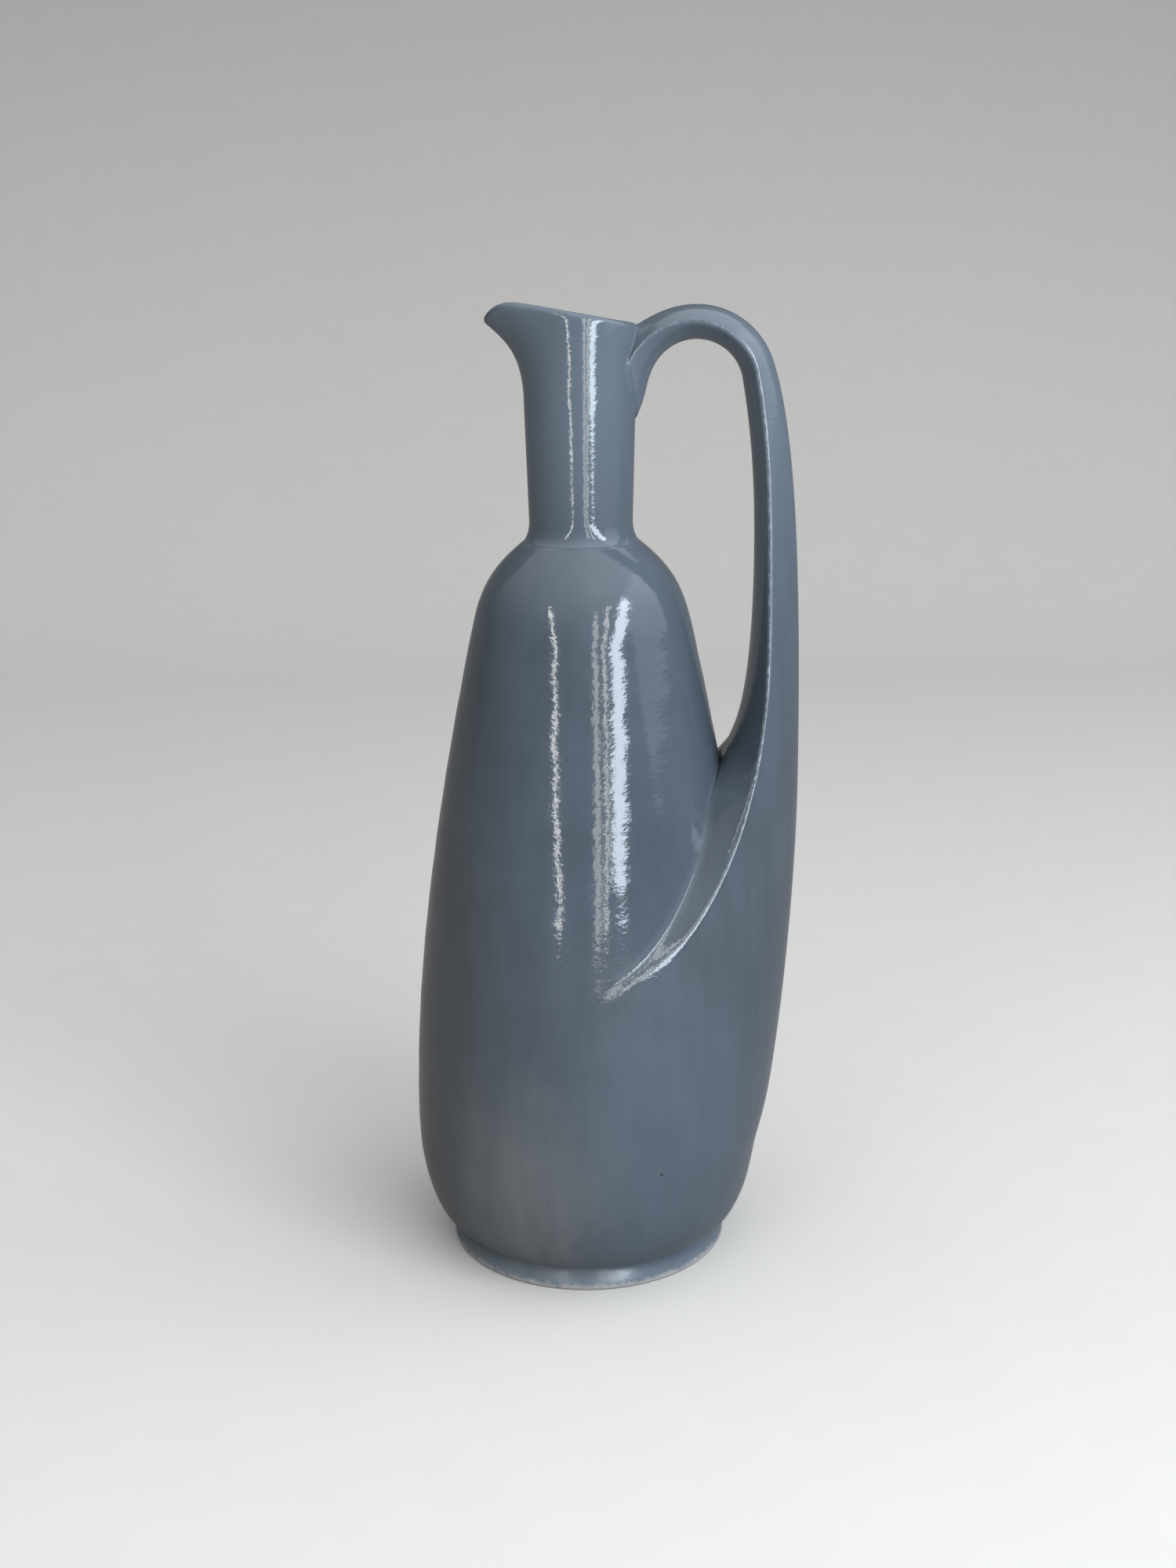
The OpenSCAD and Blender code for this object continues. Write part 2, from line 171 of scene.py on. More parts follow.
def half_ring(outer, inner, edge_round=EDGE_ROUND):
    """Joins an outer curve (0 middle, 1 edge) and an inner curve (0 edge, 1 middle) with a rounded edge."""
    tiny = 1e-3
    edge = outer(np.array([1.0]))[0]
    u_end = 1 - min(0.3, edge_round / (np.linalg.norm(edge - outer(np.array([1 - tiny]))[0]) / tiny + 1e-9))
    v_end = min(0.3, edge_round / (np.linalg.norm(edge - inner(np.array([tiny]))[0]) / tiny + 1e-9))
    face = outer(np.linspace(0, u_end, OUTER_STEPS + 1))
    back = inner(v_end + (1 - v_end) * np.linspace(0, 1, INNER_STEPS + 1))
    t = np.linspace(0, 1, ROUND_STEPS + 2)[1:-1, None]
    turn_over = (1 - t) ** 2 * face[-1] + 2 * (1 - t) * t * edge + t * t * back[0]
    return np.vstack([face, turn_over, back])


def strap_ring(crown, edge, under, half_w, turn):
    turn = math.radians(turn)

    def outer(u):
        share = (np.cos(turn * u) - math.cos(turn)) / (1 - math.cos(turn))
        p = edge + (crown - edge) * share[:, None]
        return np.stack([p[:, 0], half_w * np.sin(turn * u) / math.sin(turn), p[:, 1]], 1)

    def inner(v):
        p = under + (edge - under) * ((1 - v) ** 2)[:, None]
        return np.stack([p[:, 0], half_w * (1 - v), p[:, 1]], 1)

    return half_ring(outer, inner)


def arch_ring(share):
    edge_at = mix(EDGE_START, EDGE_END, share)
    risen = max(0, edge_at - EDGE_RISE_START) / (EDGE_END - EDGE_RISE_START)
    edge = arch_middle + polar(ARCH_IN_R + ARCH_T * mix(EDGE_LOW_SHARE, EDGE_END_SHARE, risen), edge_at)
    crown_r = ARCH_IN_R + ARCH_T + CROWN_SPREAD * share ** CROWN_POWER
    crown = arch_middle + polar(crown_r, mix(OUTER_START, CROWN_END, share))
    under_r = ARCH_IN_R + TAIL_SPREAD * share ** TAIL_POWER
    under = arch_middle + polar(under_r, mix(INNER_START, TAIL_END, share))
    return strap_ring(crown, edge, under, mix(STRAP_W, STRAP_END_W, share) / 2, STRAP_TURN)


def edge_turn(z):
    if z > OPEN_Z:
        return LIMB_TURN
    t = (OPEN_Z - z) / (OPEN_Z - TIP_Z)
    if t < 1:
        return LIMB_TURN + EDGE_OPENS * t ** 2.2 + EDGE_SWEEPS * t ** 10
    return min(90, LIMB_TURN + EDGE_OPENS + EDGE_SWEEPS + 1.03 * (TIP_Z - z))


SUNK = 0.05


def hood_half_axes(z):
    belly = float(belly_r(z))
    stand = max(float(outer_x(z)) - belly, 0)
    return belly + stand * (1 - math.exp(-(stand / 2) ** 2)), belly - SUNK * float(ease((TIP_Z + 4 - z) / 8))


def hood_edge(z):
    a, b = hood_half_axes(z)
    turn = math.radians(edge_turn(z))
    return a * math.cos(turn), b * math.sin(turn)


def edge_way(z):
    x, y = hood_edge(z)
    return math.degrees(math.atan2(y, x))


CREASE_Z = TIP_Z + 2
crease_line = np.vstack([
    bent([(0, CROTCH_Z), (16, CROTCH_Z), (27.5, 166.5), (33, 158.5)], 200),
    bent([(33, 158.5), (42, 145.5), (65.5, 118.5), (CREASE_TURN, CREASE_Z)], 300)[1:],
])
crease_reader = reader(crease_line)


def crease_turn(z):
    if z > CREASE_Z:
        return float(crease_reader(z))
    return min(CREASE_TURN + 1.6 * (CREASE_Z - z), edge_way(z) + 14)


SLOPE_SHARE = 0.75
BURIED = 1.5
CREASE_FILLET = 0.5


def hood_ring(z):
    a, b = hood_half_axes(z)
    turn = math.radians(edge_turn(z))
    ex, ey = hood_edge(z)
    edge_at = math.atan2(ey, ex)
    edge_r = math.hypot(ex, ey)
    free = z >= CROTCH_Z
    foot_at = 0 if free else math.radians(max(crease_turn(z), 3))
    foot_r = float(inner_x(z)) if free else b
    if free:
        power = mix(2.4, 2, float(ease((z - CROTCH_Z) / 20)))
    else:
        power = mix(2.4, 1.15, min((CROTCH_Z - z) / 20, 1))
    soft = min(CREASE_FILLET, 0.12 * (edge_r - b)) * min(max(CROTCH_Z - z, 0) / 6, 1) + 1e-3

    def outer(u):
        return np.stack([a * np.cos(turn * u), b * np.sin(turn * u), np.full_like(u, z)], 1)

    def inner(v):
        t = v if free else np.clip(v / SLOPE_SHARE, 0, 1)
        high = edge_r - foot_r
        rise = high * (1 - t) ** power
        full = math.sqrt(high ** 2 + soft ** 2) - soft + 1e-9
        rise = (np.sqrt(rise ** 2 + soft ** 2) - soft) * high / full
        r = foot_r + rise
        way = mix(edge_at, foot_at, t)
        if not free:
            past = np.clip((v - SLOPE_SHARE) / (1 - SLOPE_SHARE), 0, 1)
            way = way * (1 - past)
            r = r - BURIED * np.clip(past * 6, 0, 1)
        return np.stack([r * np.cos(way), r * np.sin(way), np.full_like(v, z)], 1)

    return half_ring(outer, inner, EDGE_ROUND + 2.0 * float(ease((128 - z) / 18)))


def eased_ring(z):
    """The hood's section, with its inner face eased over a few millimetres of height round the crotch."""
    ring = hood_ring(z)
    reach = 5 * float(ease((184 - z) / 8) * ease((z - 140) / 15))
    first = OUTER_STEPS + ROUND_STEPS + 1
    if reach > 0:
        near = [hood_ring(z + reach * k)[first:, :2] for k in (-1, -0.6, -0.2, 0.2, 0.6, 1)]
        ring[first:, :2] = np.mean(near, 0)
    return ring


def rippled(points):
    """The hood's faces near the belly share its ripple."""
    r = np.hypot(points[:, 0], points[:, 1])
    stand = (r - belly_r(points[:, 2])) / 4
    grow = 1 + np.exp(-stand ** 2) * ripple(points[:, 2], np.arctan2(points[:, 1], points[:, 0])) / r
    return points * np.stack([grow, grow, np.ones_like(grow)], 1)


def limb_ring(share):
    crown_z, under_z = mix(outer_top[1], CUT_Z, share), mix(inner_top[1], CUT_Z, share)
    crown, under = np.array([outer_x(crown_z), crown_z]), np.array([inner_x(under_z), under_z])
    cut_x, cut_y = hood_edge(CUT_Z)
    cut_depth = (cut_x - inner_x(CUT_Z)) / (outer_x(CUT_Z) - inner_x(CUT_Z))
    depth = mix(EDGE_LOW_SHARE, cut_depth, share) - GRIP_DIP_SHARE * math.sin(math.pi * share)
    edge = mix(under, crown, depth)
    half_w = mix(STRAP_W / 2, cut_y, share ** WIDEN_POWER)
    ring = strap_ring(crown, edge, under, half_w, mix(STRAP_TURN, edge_turn(CUT_Z), share))
    landing = float(ease((share - LANDING_SHARE) / (1 - LANDING_SHARE)))
    return mix(ring, eased_ring(float(edge[1])), landing) if landing > 0 else ring


def neck_side_r(z):
    """Outside of the neck on the handle's side."""
    top_z = RIM_Z - HALF_RIM
    flare = reader(bent([
        (FLARE_R, FLARE_Z),
        (FLARE_R, mix(FLARE_Z, RIM_Z, FLARE_SHARE)),
        (RIM_R, top_z - FLARE_PULL),
        (RIM_R, top_z),
    ], 200))
    straight = mix(NECK_R, FLARE_R, (z - STRAIGHT_Z) / (FLARE_Z - STRAIGHT_Z))
    return np.where(z < FLARE_Z, straight, flare(np.minimum(z, top_z)))


def into_neck(ring, depth):
    out = ring.copy()
    out[:, 0] = np.sqrt(np.maximum((neck_side_r(ring[:, 2]) - depth) ** 2 - ring[:, 1] ** 2, 1))
    return out


# Making meshes
def full_ring(half):
    other = half[-2:0:-1] * (1, -1, 1)
    return np.vstack([half, other])


def piece_from(name, points, faces, finish, marks):
    """A smooth closed piece in its place, with its distances to edges and seams kept on its points."""
    mesh = bpy.data.meshes.new(name)
    mesh.from_pydata([tuple(p) for p in points * MM], [], faces)
    work = bmesh.new()
    work.from_mesh(mesh)
    bmesh.ops.recalc_face_normals(work, faces=work.faces)
    for line in work.edges:
        line.smooth = line.calc_face_angle(0) < 1.0
    work.to_mesh(mesh)
    work.free()
    for mark, values in marks.items():
        mesh.attributes.new(mark, "FLOAT", "POINT").data.foreach_set("value", np.asarray(values, np.float32))
    mesh.polygons.foreach_set("use_smooth", [True] * len(mesh.polygons))
    mesh.materials.append(finish)
    piece = bpy.data.objects.new(name, mesh)
    bpy.context.scene.collection.objects.link(piece)
    return piece


def ring_faces(rings, n, closed):
    faces = []
    for i in range(rings if closed else rings - 1):
        a, b = i * n, ((i + 1) % rings) * n
        faces += [(a + j, a + (j + 1) % n, b + (j + 1) % n, b + j) for j in range(n)]
    return faces


def end_faces(first, n):
    half = n // 2
    pairs = [(first + j, first + (n - j) % n) for j in range(half + 1)]
    faces = []
    for (a, d), (b, c) in zip(pairs, pairs[1:]):
        faces.append(tuple(dict.fromkeys((a, b, c, d))))
    return faces


def edge_distance(half):
    """Distance along the section from the rounded edge, for each point of the half ring."""
    way = np.concatenate([[0], np.cumsum(np.linalg.norm(np.diff(half, axis=0), axis=1))])
    return np.abs(way - way[OUTER_STEPS + 1 + ROUND_STEPS // 2])


def lofted(name, halves, finish, seam, worked=lambda p: p, blunt=lambda p: 0):
    rings = [full_ring(h) for h in halves]
    n = len(rings[0])
    points = worked(np.vstack(rings))
    edges = []
    for h in halves:
        d = edge_distance(h)
        edges.append(np.concatenate([d, d[-2:0:-1]]))
    faces = ring_faces(len(rings), n, False) + end_faces(0, n) + end_faces((len(rings) - 1) * n, n)
    marks = {"edge_mm": np.concatenate(edges) + blunt(points), "seam_mm": seam(points)}
    return piece_from(name, points, faces, finish, marks)


# Shader and geometry maths as plain sums
class Wire:
    """One output of a node. Sums, products and powers of wires add Math nodes; add() makes any other node."""

    def __init__(self, tree, socket=None):
        self.tree, self.socket = tree, socket

    def add(self, kind, settings=(), values=(), out=0):
        node = self.tree.nodes.new(kind)
        for key, value in dict(settings).items():
            if key == "stops":
                while len(node.color_ramp.elements) < len(value):
                    node.color_ramp.elements.new(1)
                for stop, (place, colour) in zip(node.color_ramp.elements, value):
                    stop.position, stop.color = place, colour
            else:
                setattr(node, key, value)
        for key, value in dict(values).items():
            socket = node.inputs[key]
            if isinstance(value, Wire):
                self.tree.links.new(value.socket, socket)
            else:
                socket.default_value = value
        return Wire(self.tree, node.outputs[out])

    def math(self, operation, a, b=0.0):
        return self.add("ShaderNodeMath", {"operation": operation}, {0: a, 1: b})

    def __add__(self, other):
        return self.math("ADD", self, other)

    def __radd__(self, other):
        return self.math("ADD", other, self)

    def __sub__(self, other):
        return self.math("SUBTRACT", self, other)

    def __rsub__(self, other):
        return self.math("SUBTRACT", other, self)

    def __mul__(self, other):
        return self.math("MULTIPLY", self, other)

    def __rmul__(self, other):
        return self.math("MULTIPLY", other, self)

    def __truediv__(self, other):
        return self.math("DIVIDE", self, other)

    def __rtruediv__(self, other):
        return self.math("DIVIDE", other, self)

    def __pow__(self, other):
        return self.math("POWER", self, other)

    def fall(self, start, end):
        """1 below start, 0 above end, smooth between."""
        return self.add(
            "ShaderNodeMapRange",
            {"interpolation_type": "SMOOTHSTEP"},
            {"Value": self, "From Min": start, "From Max": end, "To Min": 1.0, "To Max": 0.0},
        )

    def rise(self, start, end):
        return 1 - self.fall(start, end)

    def blend(self, low, high):
        """Mixes two colours by this value."""
        return self.add("ShaderNodeMix", {"data_type": "RGBA"}, {0: self, 6: low, 7: high}, 2)

    def scaled(self, x, y, z):
        return self.add("ShaderNodeVectorMath", {"operation": "MULTIPLY"}, {0: self, 1: (x, y, z)})

    def noise(self, detail=3.0, rough=0.5):
        values = {"Vector": self, "Scale": 1.0, "Detail": detail, "Roughness": rough}
        return self.add("ShaderNodeTexNoise", (), values)

    def mark(self, name):
        return self.add("ShaderNodeAttribute", {"attribute_name": name}, (), 2)


def colour(r, g, b):
    return (r, g, b, 1.0)


DEEP = colour(0.057, 0.071, 0.087)
MIDDLE = colour(0.09, 0.115, 0.145)
THIN = colour(0.126, 0.158, 0.192)
# Pale glaze, also laid on as a painted highlight along the handle's edges and the seams
PALE = colour(0.33, 0.38, 0.43)
SMOKE = colour(0.14, 0.147, 0.152)
# Painted shade: dark neutral grey for the belly's left side, standing in for its shadow side and the brown
# table it mirrors
LEFT_SHADE_GREY = colour(0.075, 0.074, 0.072)
SMOKE_MIDDLE = (-22, -53, 22)
PIT = colour(0.018, 0.016, 0.015)
RUST = colour(0.05, 0.028, 0.018)
BARE = colour(0.36, 0.34, 0.33)
FOOT_PALE = colour(0.165, 0.205, 0.24)


def glaze(name, edges=False, seams=False, lip=False, foot=False):
    """Glossy blue-grey glaze that ran down while it was molten, thin and pale where it broke over an edge.
    The pale lines along edges and seams are partly painted highlight, and the belly's left side carries
    painted shade.
    """
    finish = bpy.data.materials.new(name)
    finish.use_nodes = True
    tree = finish.node_tree
    tree.nodes.clear()
    start = Wire(tree)
    place = start.add("ShaderNodeTexCoord", (), (), 3)
    mm = place.scaled(1000, 1000, 1000)
    cloud = mm.scaled(0.02, 0.02, 0.012).noise(4.0, 0.55)
    runs = mm.scaled(0.16, 0.16, 0.012).noise(5.0, 0.6)
    fine_runs = mm.scaled(1.6, 1.6, 0.05).noise(2.0, 0.5)
    across = mm.add("ShaderNodeSeparateXYZ", (), {0: mm}, 0)
    up = mm.add("ShaderNodeSeparateXYZ", (), {0: mm}, 2)
    tone = 0.4 + 1.0 * (cloud - 0.5) + 0.35 * (runs - 0.5) + 0.12 * (fine_runs - 0.5)
    base = tone.rise(0.0, 0.8).blend(DEEP, MIDDLE)
    base = (up.rise(190, 300) * (0.5 + 0.6 * cloud)).blend(base, THIN)
    # Painted shade: the left side of the belly below the shoulder is darkened to a neutral grey
    base = (across.fall(-58, -15) * up.fall(190, 240) * (0.2 + 0.9 * runs)).blend(base, LEFT_SHADE_GREY)
    squat = mm.scaled(1, 1, 0.7)
    smoke_way = mm.add("ShaderNodeVectorMath", {"operation": "DISTANCE"}, {0: squat, 1: SMOKE_MIDDLE}, 1)
    smoke = (smoke_way + 34 * (mm.scaled(0.06, 0.06, 0.03).noise(5.0, 0.65) - 0.5)).fall(4, 42)
    base = (smoke * (0.25 + 0.9 * runs)).blend(base, SMOKE)
    speckle = mm.scaled(0.9, 0.9, 0.5).noise(2.0, 0.6)
    # Pale line along the handle's edges: partly glaze thinned where it broke over the edge, partly a painted
    # highlight on the ridge
    if edges:
        broken = speckle.rise(0.4, 0.75) * (cloud.rise(0.35, 0.6) * 0.6 + 0.25)
        line = mm.mark("edge_mm").fall(0.0, 1.1) * broken
        base = (0.8 * line).blend(base, PALE)
    # Faint pale line along the seams and the hood's crease: partly glaze pooled in the seam, partly a painted
    # highlight on the fillet
    if seams:
        line = mm.mark("seam_mm").fall(0.0, 3.0) * (0.4 + 0.4 * speckle)
        base = (0.16 * line).blend(base, PALE)
    if lip:
        base = (0.6 * mm.mark("lip_mm").fall(0.2, 0.6) * speckle.rise(0.3, 0.6)).blend(base, RUST)
    if foot:
        worn = (up + 4.5 * (mm.scaled(0.35, 0.35, 0.35).noise(4.0, 0.65) - 0.5)).fall(0.8, 2.6)
        base = (up.fall(1.5, 7.0) * (0.35 + 0.5 * speckle)).blend(base, FOOT_PALE)
        base = (0.8 * worn).blend(base, BARE)
    spots = mm.add("ShaderNodeTexVoronoi", (), {"Vector": mm.scaled(0.03, 0.03, 0.03), "Scale": 1.0})
    base = (0.8 * spots.fall(0.011, 0.02)).blend(base, PIT)
    rough = 0.07 + 0.05 * cloud + 0.06 * smoke
    waves = mm.scaled(0.2, 0.2, 0.42).noise(3.0, 0.5)
    swell = mm.scaled(0.035, 0.035, 0.05).noise(1.0, 0.4)
    peel = mm.scaled(0.5, 0.5, 0.75).noise(2.0, 0.5)
    height = 0.4 * waves + 1.6 * swell + 0.4 * peel + 0.15 * runs
    if foot:
        rough = rough + 0.15 + 0.35 * worn
    normal = mm.add("ShaderNodeBump", (), {"Height": height, "Strength": 1.0, "Distance": 0.00012})
    shader = mm.add(
        "ShaderNodeBsdfPrincipled",
        (),
        {"Base Color": base, "Roughness": rough, "Normal": normal, "IOR": 1.52},
    )
    tree.links.new(shader.socket, tree.nodes.new("ShaderNodeOutputMaterial").inputs["Surface"])
    return finish


belly_glaze = glaze("belly_glaze", seams=True)
neck_glaze = glaze("neck_glaze", seams=True, lip=True)
handle_glaze = glaze("handle_glaze", edges=True, seams=True)
foot_glaze = glaze("foot_glaze", foot=True)


# Turned pieces: a profile spun round the axis, with the throwing ripple that winds up the wall
def turned_tree():
    tree = bpy.data.node_groups.new("turned_on_the_wheel", "GeometryNodeTree")
    for label, kind in (
        ("Profile", "NodeSocketGeometry"),
        ("Columns", "NodeSocketInt"),
        ("Slow ripple depth", "NodeSocketFloat"),
        ("Quick ripple depth", "NodeSocketFloat"),
        ("Glaze", "NodeSocketMaterial"),
    ):
        tree.interface.new_socket(label, in_out="INPUT", socket_type=kind)
    tree.interface.new_socket("Piece", in_out="OUTPUT", socket_type="NodeSocketGeometry")
    given = tree.nodes.new("NodeGroupInput")
    profile, columns, slow, quick, finish = [Wire(tree, given.outputs[i]) for i in range(5)]
    rows = profile.add("GeometryNodeAttributeDomainSize", {"component": "MESH"}, {0: profile})
    across = columns + 1
    sheet = profile.add("GeometryNodeMeshGrid", (), {"Vertices X": rows, "Vertices Y": across})
    index = profile.add("GeometryNodeInputIndex")
    row = profile.math("FLOOR", (index + 0.5) / across)
    column = index - row * across
    drawn = profile.add("GeometryNodeInputPosition")
    spot = profile.add(
        "GeometryNodeSampleIndex",
        {"data_type": "FLOAT_VECTOR", "domain": "POINT", "clamp": True},
        {"Geometry": profile, "Value": drawn, "Index": row},
    )
    r = profile.add("ShaderNodeSeparateXYZ", (), {0: spot}, 0)
    outside = profile.add("ShaderNodeSeparateXYZ", (), {0: spot}, 1)
    z = profile.add("ShaderNodeSeparateXYZ", (), {0: spot}, 2)
    way = column / columns * (-2 * math.pi)
    level = z * 1000
    slow_wave = slow * profile.math("SINE", level * SLOW_WAVE + way)
    quick_wave = quick * profile.math("SINE", level * QUICK_WAVE - 2 * way + 1.0)
    starts = level.rise(RIPPLE_LOW, RIPPLE_LOW + RIPPLE_FADE)
    stops = level.fall(RIPPLE_HIGH - RIPPLE_FADE, RIPPLE_HIGH)
    fade = starts * stops * outside
    reach = r + (slow_wave + quick_wave) * fade
    spun = profile.add(
        "ShaderNodeCombineXYZ",
        (),
        {0: reach * profile.math("COSINE", way), 1: reach * profile.math("SINE", way), 2: z},
    )
    shaped = profile.add("GeometryNodeSetPosition", (), {"Geometry": sheet, "Position": spun})
    joined = profile.add("GeometryNodeMergeByDistance", (), {"Geometry": shaped, "Distance": 1e-6})
    smooth = profile.add("GeometryNodeSetShadeSmooth", (), {"Geometry": joined})
    real = profile.add("GeometryNodeRealizeInstances", (), {"Geometry": smooth})
    glazed = profile.add("GeometryNodeSetMaterial", (), {"Geometry": real, "Material": finish})
    end = tree.nodes.new("NodeGroupOutput")
    tree.links.new(glazed.socket, end.inputs[0])
    return tree


spinner = turned_tree()


def turned(name, line, outside, columns, depths, finish):
    """Spins a profile of (distance, height) points; outside says where the ripple shows."""
    drawn = bpy.data.meshes.new(name + "_profile")
    points = [(r * MM, float(o), z * MM) for (r, z), o in zip(line, outside)]
    drawn.from_pydata(points, [(i, i + 1) for i in range(len(points) - 1)], [])
    holder = bpy.data.objects.new(name + "_profile", drawn)
    bpy.context.scene.collection.objects.link(holder)
    work = holder.modifiers.new("turning", "NODES")
    work.node_group = spinner
    values = {
        "Columns": columns,
        "Slow ripple depth": depths[0] * MM,
        "Quick ripple depth": depths[1] * MM,
        "Glaze": finish,
    }
    for item in spinner.interface.items_tree:
        if item.in_out == "INPUT" and item.name in values:
            work[item.identifier] = values[item.name]
    holder.update_tag()
    seen = holder.evaluated_get(bpy.context.evaluated_depsgraph_get())
    mesh = bpy.data.meshes.new_from_object(seen)
    mesh.name = name
    bpy.data.objects.remove(holder)
    piece = bpy.data.objects.new(name, mesh)
    bpy.context.scene.collection.objects.link(piece)
    return piece


def rounded(middle, r, start, end, steps):
    return [np.array(middle) + polar(r, a) for a in np.linspace(start, end, steps + 1)]


# Foot ring
foot_side = [(FOOT_R, 1.1), (FOOT_R - 0.5, FOOT_H / 2), (GROOVE_R, FOOT_H * 0.7), (GROOVE_R, FOOT_H)]
foot_line = np.array(
    rounded((FOOT_IN_R + 1, 1), 1, 180, 270, 6)
    + rounded((FOOT_R - 1, 1), 1, -90, -5, 8)
    + list(bent(foot_side, 20))
    + [(mix(GROOVE_R, FOOT_IN_R, t), FOOT_H) for t in (0.3, 0.7, 1.0)]
    + [(FOOT_IN_R, z) for z in (6, 4, 2, 1)]
)
foot_ring = turned("foot_ring_glazed", foot_line, np.zeros(len(foot_line)), WHEEL_COLUMNS, (0, 0), foot_glaze)

# Belly
outside_line = np.vstack([bent(BOWL, 60), bent(FLANK, 120)[1:], bent(DOME, 40)[1:]])
ways = np.gradient(outside_line, axis=0)
inset = outside_line + WALL * np.stack([-ways[:, 1], ways[:, 0]], 1) / np.linalg.norm(ways, axis=1)[:, None]
hollow = inset[(inset[:, 1] > FLOOR_Z) & (inset[:, 0] > BORE_R)][::3]
under_line = np.array([(GROOVE_R * t, FOOT_H) for t in (0, 0.25, 0.5, 0.75, 0.9, 0.97)])
floor_line = np.array([(hollow[0][0] * t, FLOOR_Z) for t in (1, 0.97, 0.9, 0.75, 0.5, 0.25, 0)])
belly_profile = np.vstack([
    under_line, outside_line, [(BORE_R, SEAT_Z), (BORE_R, SEAT_Z - SEAT_T)], hollow[::-1], floor_line,
])
shown = np.zeros(len(belly_profile))
shown[len(under_line):len(under_line) + len(outside_line)] = 1
body = turned("belly_glazed", belly_profile, shown, WHEEL_COLUMNS, (SLOW_RIPPLE, QUICK_RIPPLE), belly_glaze)


def seam_on_belly(points):
    """Distance from the hood's crease or the neck's seat, in millimetres."""
    near = np.abs(np.hypot(points[:, 0], points[:, 1]) - SEAT_R) + np.abs(points[:, 2] - SEAT_Z)
    side = np.abs(points) * (np.sign(points[:, 0])[:, None] * (1, 0, 0) + (0, 1, 1))
    for turn, z in crease_line[::4]:
        x, y = polar(float(belly_r(z)), turn)
        near = np.minimum(near, np.linalg.norm(side - (x, y, z), axis=1))
    return near


spots = np.empty(len(body.data.vertices) * 3)
body.data.vertices.foreach_get("co", spots)
seam = seam_on_belly(spots.reshape(-1, 3) / MM).astype(np.float32)
body.data.attributes.new("seam_mm", "FLOAT", "POINT").data.foreach_set("value", seam)


# Strap of the handle
arch = [arch_ring(s) for s in np.linspace(1, 0, ARCH_RINGS)]
limb = [limb_ring(s) for s in np.linspace(0, 1, LIMB_RINGS)[1:]]
strap = lofted(
    "handle_strap_glazed",
    [into_neck(arch[0], 1.0)] + arch[1:] + limb,
    handle_glaze,
    lambda p: np.abs(np.hypot(p[:, 0], p[:, 1]) - neck_side_r(p[:, 2])),
)


def flowing_into(points, other, reach):
    """Lifts a turned surface round the foot of another piece, so that the two flow together."""
    corners = [v.co for v in other.data.vertices]
    tree = BVHTree.FromPolygons(corners, [f.vertices for f in other.data.polygons])
    out = points.copy()
    for i in np.nonzero((points[:, 0] > 3) & (points[:, 2] > 262))[0]:
        spot = Vector(points[i]) * MM
        near, normal, _, far = tree.find_nearest(spot, reach * MM)
        if near is None:
            continue
        far = 0 if (spot - near).dot(normal) < 0 else far / MM
        lift = reach - math.sqrt(max(reach ** 2 - (reach - far) ** 2, 0))
        out[i, :2] *= 1 + lift / math.hypot(*points[i, :2])
    return out


# Neck with the pulled lip
SEAT_LAP, NECK_FILLET = 0.2, 0.9


def neck_line(turn):
    """Half section of the neck at a turn from the lip's tip: outside up, over the rim, down the inside."""
    lip = math.exp(-(turn / LIP_SPREAD) ** 2)
    droop = math.exp(-(turn / DROOP_SPREAD) ** 2)
    lean = math.radians(LIP_LEAN * lip)
    r = RIM_R - HALF_RIM + LIP_REACH * lip
    lift = RIM_RISE * (RIM_R + r * math.cos(math.radians(turn))) / (2 * RIM_R)
    middle = np.array([r, RIM_Z + lift - HALF_RIM - LIP_DROOP * droop])
    side = HALF_RIM * np.array([math.cos(lean), -math.sin(lean)])
    back = FLARE_PULL * np.array([math.sin(lean), math.cos(lean)])

    def flare(low_r, top):
        return [(low_r, FLARE_Z), (low_r, mix(FLARE_Z, RIM_Z, FLARE_SHARE)), top - back, top]

    fillet = [
        (SEAT_R, SEAT_Z - SEAT_LAP),
        (mix(SEAT_R, NECK_R, 0.65), SEAT_Z + 1.4),
        (NECK_R, SEAT_Z + 3.5),
        (NECK_R, STRAIGHT_Z),
    ]
    straight = np.linspace((NECK_R, STRAIGHT_Z), (FLARE_R, FLARE_Z), STRAIGHT_STEPS + 1)
    turns = np.linspace(0, math.pi, RIM_STEPS + 1)[1:-1]
    rim = [middle + HALF_RIM * np.array([math.cos(lean - a), -math.sin(lean - a)]) for a in turns]
    return np.vstack([
        bent(fillet, FILLET_STEPS),
        straight[1:-1],
        bent(flare(FLARE_R, middle + side), FLARE_STEPS),
        rim,
        bent(flare(FLARE_R - NECK_WALL, middle - side), 30)[::-1],
        [(BORE_R, FLARE_Z - 18), (BORE_R, SEAT_Z - SEAT_LAP)],
    ])


neck_rings = []
for k in range(NECK_COLUMNS):
    turn = (360 * k / NECK_COLUMNS + 180) % 360 - 180
    line = neck_line(turn)
    way = math.radians(turn)
    neck_rings.append(np.stack([-line[:, 0] * math.cos(way), -line[:, 0] * math.sin(way), line[:, 1]], 1))
neck_points = np.vstack(neck_rings)
rows = len(neck_rings[0])
side_rows = FILLET_STEPS + STRAIGHT_STEPS + FLARE_STEPS
outer_rows = np.tile(np.arange(rows) < side_rows, NECK_COLUMNS)
neck_points[outer_rows] = flowing_into(neck_points[outer_rows], strap, NECK_FILLET)
rim_row = side_rows + 3
lip_mm = []
for k, ring in enumerate(neck_rings):
    from_tip = min(k, NECK_COLUMNS - k) / 13
    lip_mm.append(np.linalg.norm(ring - ring[rim_row], axis=1) + 0.4 * from_tip ** 2)
neck_r_at = np.hypot(neck_points[:, 0], neck_points[:, 1])
